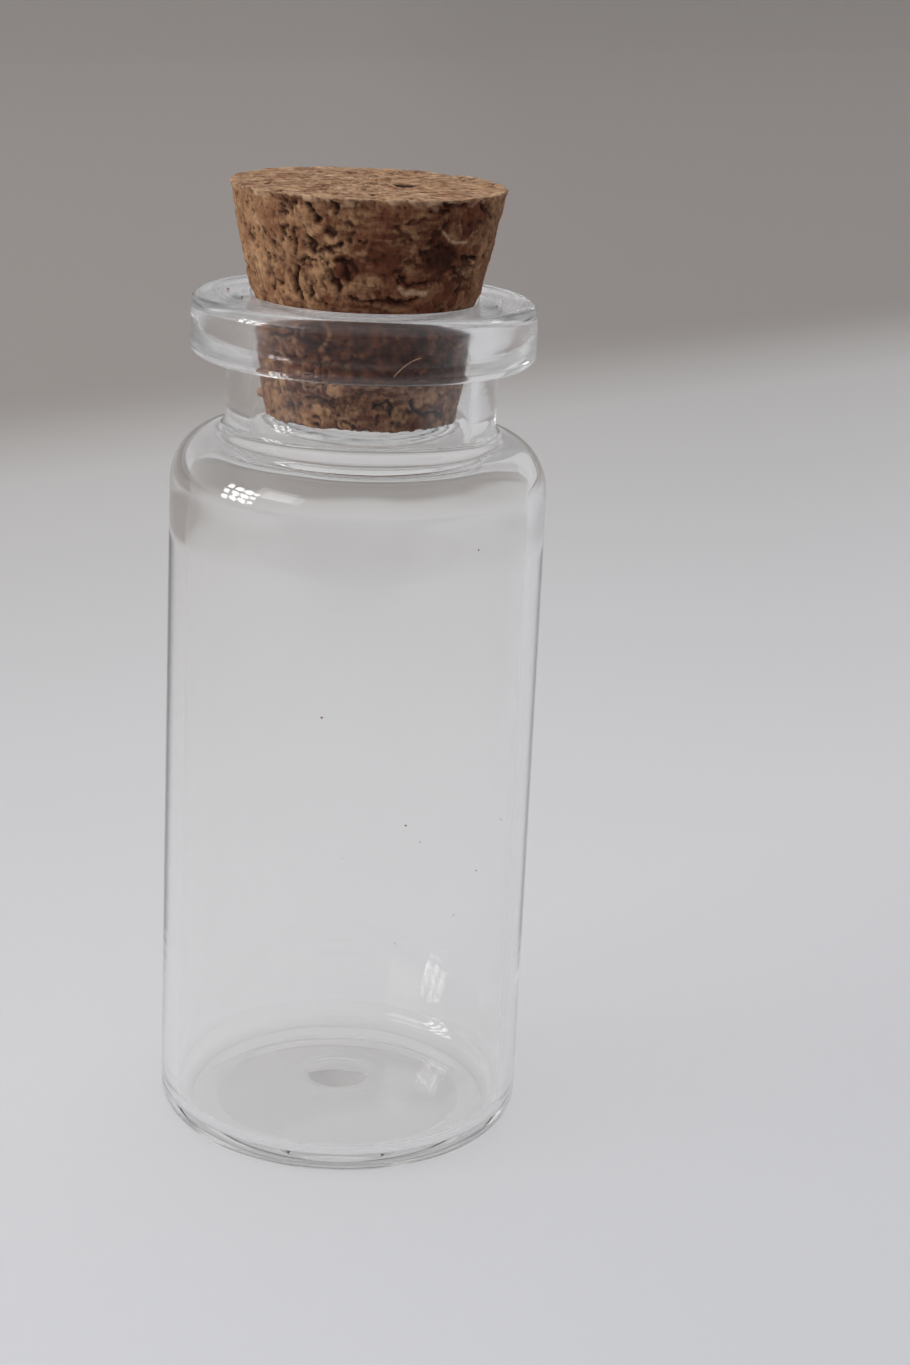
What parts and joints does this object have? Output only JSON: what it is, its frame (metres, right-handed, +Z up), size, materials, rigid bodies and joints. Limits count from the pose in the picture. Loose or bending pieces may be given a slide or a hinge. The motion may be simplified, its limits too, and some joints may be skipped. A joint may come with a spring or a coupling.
{
  "type": "corked glass vial",
  "caption": "Clear glass vial with a rounded shoulder, a short neck and a thick flange, closed by a tapered cork that lifts out.",
  "frame": {"origin": "middle of the base, on the surface that the vial stands on", "axes": "+Z up the vial's axis, towards the cork"},
  "size_m": [0.022, 0.022, 0.0569],
  "materials": {
    "clear_glass": "polished, colourless, faintly green where thick",
    "cork": "natural cork, dry and matt, with dark pits"
  },
  "bodies": {
    "vial": {"glass_vial": "clear_glass"},
    "cork": {"cork_stopper": "cork"}
  },
  "joints": [
    {"name": "cork_lift", "type": "slide", "parent": "vial", "child": "cork", "axis": [0, 0, 1], "range_m": [0, 0.02]}
  ]
}
